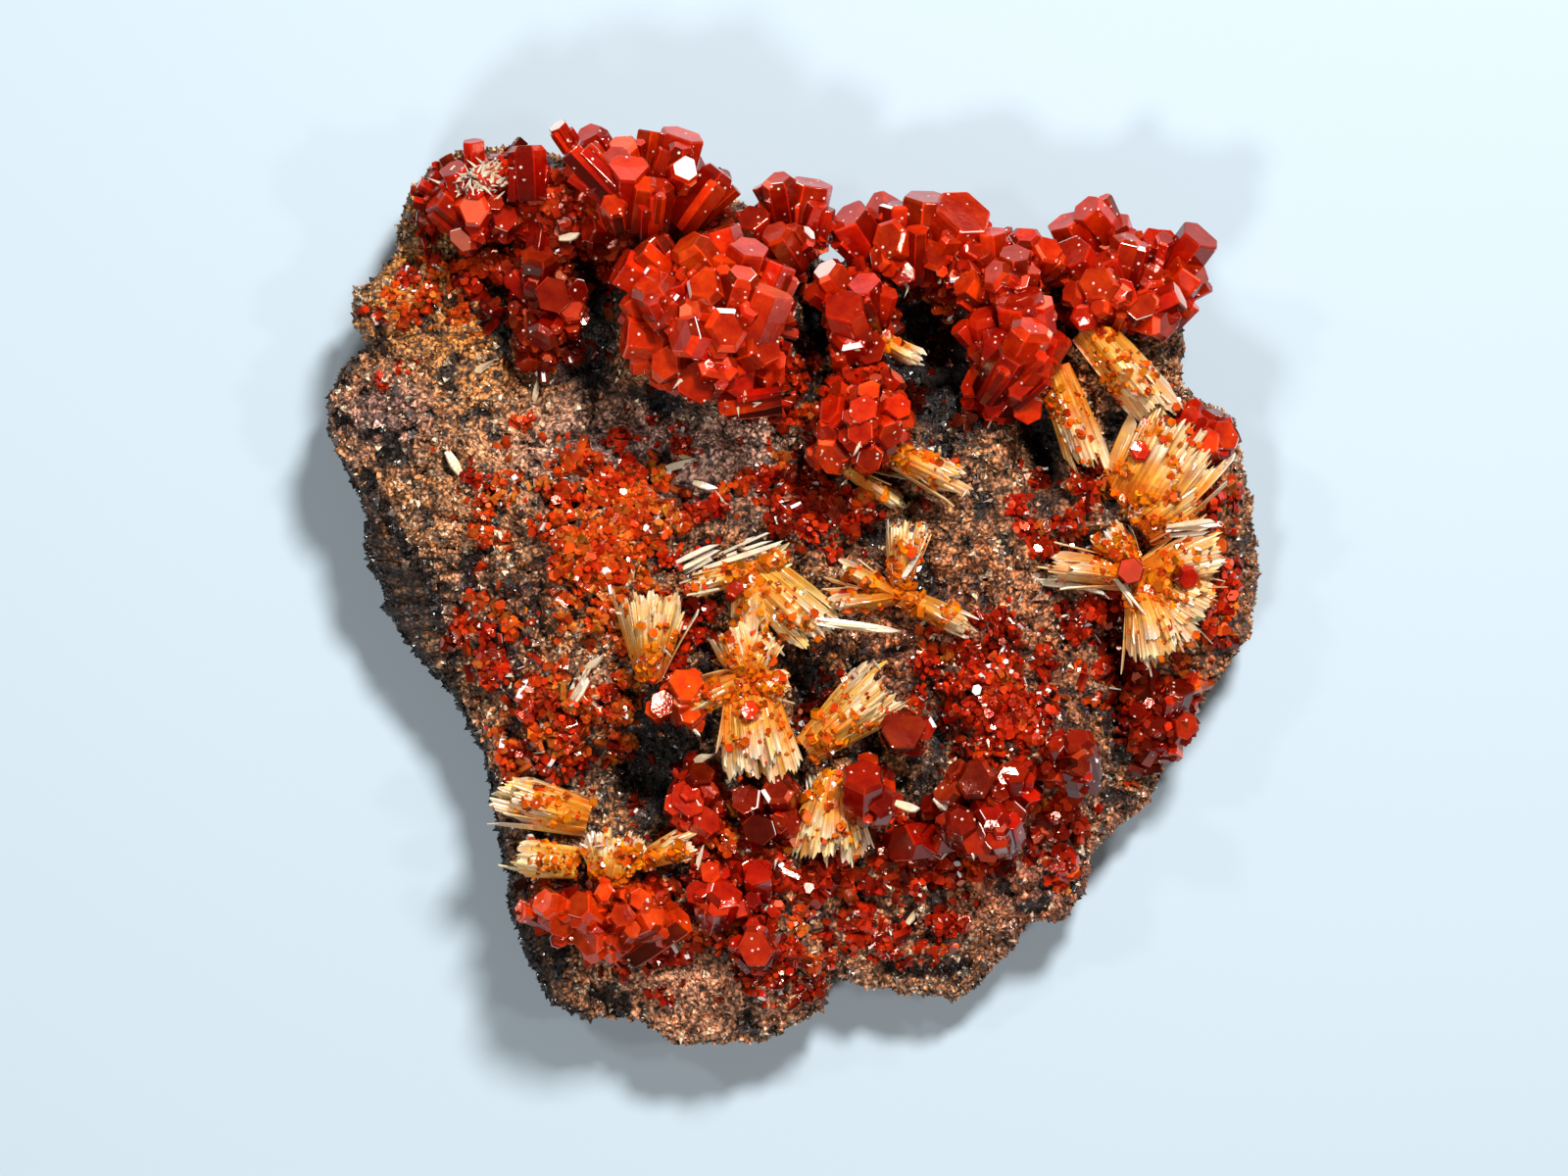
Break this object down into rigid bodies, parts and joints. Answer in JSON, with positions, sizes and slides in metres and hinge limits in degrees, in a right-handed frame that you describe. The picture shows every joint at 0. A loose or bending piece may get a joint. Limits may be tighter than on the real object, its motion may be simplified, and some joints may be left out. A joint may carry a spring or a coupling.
{
  "type": "vanadinite on matrix",
  "caption": "Mineral specimen: a plate of brown barite rock with red-orange hexagonal vanadinite crystals along its crest and pale fans of bladed barite.",
  "frame": {"origin": "on the flat patch of the plate's broken underside, under the middle of the plate", "axes": "+Z out of the crystal side, which faces up as the specimen lies on its back; +Y towards the crest with the large crystals; +X to the right of a viewer who looks down with the crest at the top"},
  "size_m": [0.096, 0.0953, 0.0384],
  "materials": {
    "matrix": "rough, sugary grain, brown",
    "vanadinite": "glossy, red to orange, slightly see-through at thin edges",
    "barite": "pearly, cream to golden"
  },
  "bodies": {
    "root": {"bottom_crystal": "vanadinite", "crest_corner_crystals": "vanadinite", "crest_left_crystals": "vanadinite", "crest_middle_crystals": "vanadinite", "crest_outer_crystals": "vanadinite", "crest_right_crystals": "vanadinite", "crest_spike_crystals": "vanadinite", "curved_sheaf": "barite", "edge_fan": "barite", "fan_cap_crystals": "vanadinite", "fan_tip_prism": "vanadinite", "fan_top_crystals": "vanadinite", "great_cluster": "vanadinite", "hanging_crystals": "vanadinite", "hanging_fan": "barite", "hollow_blade": "barite", "hollow_left_crystals": "vanadinite", "hollow_upper_crystals": "vanadinite", "inner_blade": "barite", "inner_fan": "barite", "inner_left_crystals": "vanadinite", "inner_lower_crystals": "vanadinite", "knob_crystals": "vanadinite", "leaf_fan": "barite", "left_fan": "barite", "low_wing": "barite", "lower_fan": "barite", "lower_left_crystals": "vanadinite", "lower_right_cluster": "vanadinite", "lower_right_fan": "barite", "lower_row_crystals": "vanadinite", "lower_tabular_crystals": "vanadinite", "matrix": "matrix", "middle_cluster": "vanadinite", "middle_fan": "barite", "right_fan": "barite", "right_inner_crystals": "vanadinite", "right_rim_crystals": "vanadinite", "slanting_fan": "barite", "spread_fan": "barite", "tabular_crystals": "vanadinite", "upper_middle_fan": "barite", "upper_right_sheaf": "barite", "wing_crystals": "vanadinite"}
  },
  "joints": []
}
